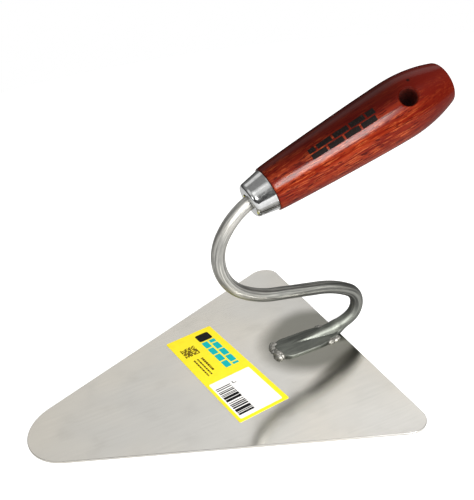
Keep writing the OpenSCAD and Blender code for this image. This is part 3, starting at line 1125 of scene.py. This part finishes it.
def make_light(name, azimuth, elevation, distance, size, power, colour):
    """A rectangular area light aimed at the middle of the trowel."""
    data = bpy.data.lights.new(name, "AREA")
    data.shape = "RECTANGLE"
    data.size, data.size_y = size
    data.energy = power
    data.color = colour
    light = bpy.data.objects.new(name, data)
    middle = Vector((-0.03, 0, 0.06))
    direction = aim(azimuth, elevation)
    light.location = middle + direction * distance
    light.rotation_mode = "QUATERNION"
    light.rotation_quaternion = direction.to_track_quat("Z", "Y")
    bpy.context.scene.collection.objects.link(light)


def make_world():
    """A dim studio lit by round soft boxes, behind a backdrop that is white to the camera."""
    world = bpy.data.worlds.new("studio")
    bpy.context.scene.world = world
    world.use_nodes = True
    tree = world.node_tree
    tree.nodes.clear()

    def add(kind, inputs, **settings):
        made = tree.nodes.new(kind)
        for key, value in settings.items():
            setattr(made, key, value)
        for key, value in inputs.items():
            if isinstance(value, bpy.types.NodeSocket):
                tree.links.new(value, made.inputs[key])
            else:
                made.inputs[key].default_value = value
        return made

    direction = add("ShaderNodeTexCoord", {}).outputs["Generated"]

    def lobe(azimuth, elevation, inner, outer, strength):
        """Brightness of a round soft box: full within inner degrees, none past outer."""
        facing = add("ShaderNodeVectorMath", {0: direction, 1: tuple(aim(azimuth, elevation))},
                     operation="DOT_PRODUCT")
        inputs = {"Value": facing.outputs["Value"], "From Min": math.cos(math.radians(outer)),
                  "From Max": math.cos(math.radians(inner)), "To Min": 0.0, "To Max": strength}
        made = add("ShaderNodeMapRange", inputs, interpolation_type="SMOOTHSTEP")
        return made.outputs["Result"]

    up = add("ShaderNodeSeparateXYZ", {"Vector": direction}).outputs["Z"]
    fade = {"Value": up, "From Min": FADE[0], "From Max": FADE[1],
            "To Min": HORIZON, "To Max": AMBIENT}
    level = add("ShaderNodeMapRange", fade, interpolation_type="SMOOTHSTEP").outputs["Result"]
    for box in SOFT_BOXES:
        level = add("ShaderNodeMath", {0: level, 1: lobe(*box)}, operation="MAXIMUM").outputs[0]
    lit = add("ShaderNodeBackground", {"Color": (1.0, 0.985, 0.955, 1), "Strength": level})
    plain = add("ShaderNodeBackground", {"Color": (1, 1, 1, 1), "Strength": 1.0})
    seen = add("ShaderNodeLightPath", {}).outputs["Is Camera Ray"]
    shown = add("ShaderNodeMixShader", {0: seen, 1: lit.outputs[0], 2: plain.outputs[0]})
    add("ShaderNodeOutputWorld", {"Surface": shown.outputs[0]})


# The studio's own brightness: near the horizon and towards the zenith
HORIZON = 0.07
AMBIENT = 0.28
FADE = (math.sin(math.radians(8)), math.sin(math.radians(36)))  # elevations of the change
# Each soft box: azimuth, elevation, full within, none past (degrees), strength
SOFT_BOXES = [
    (147, 54, 6, 16, 0.9),
    (120, 45, 6, 20, 0.5),
    (-122, 9, 4, 12, 3.0),
    (-100, 40, 10, 30, 0.8),
    (-155, 50, 5, 12, 1.3),
    (-162, 48, 12, 28, 0.75),
]
# A row of soft boxes behind the trowel, brighter towards the right, lights the blade
SOFT_BOXES += [(-16 + 13 * i, 46, 10, 16, 0.80 + 0.03 * i * i) for i in range(6)]


FLOOR_R = 0.60
FLOOR_PLACE = (0, 0.25, -0.2 * MM)
KEY_LIGHT = {"azimuth": 175, "elevation": 27, "distance": 0.9, "size": (0.36, 0.34),
             "power": 14.0, "colour": (1.0, 0.98, 0.95)}


def make_floor():
    """The round table, just under the blade; it is stage and no part of the trowel."""
    bm = bmesh.new()
    bmesh.ops.create_circle(bm, cap_ends=True, segments=96, radius=FLOOR_R)
    mesh = bpy.data.meshes.new("floor")
    bm.to_mesh(mesh)
    bm.free()
    floor = bpy.data.objects.new("floor", mesh)
    floor.location = FLOOR_PLACE
    bpy.context.scene.collection.objects.link(floor)
    mesh.materials.append(floor_material())


def make_studio():
    make_camera()
    make_world()
    make_floor()
    make_light("key", **KEY_LIGHT)
    bpy.context.scene.view_settings.view_transform = "Standard"


make_studio()
make_blade()
make_tang()
make_welds()
make_ferrule()
make_handle()
make_handle_mark()
make_label()

bpy.context.view_layer.update()
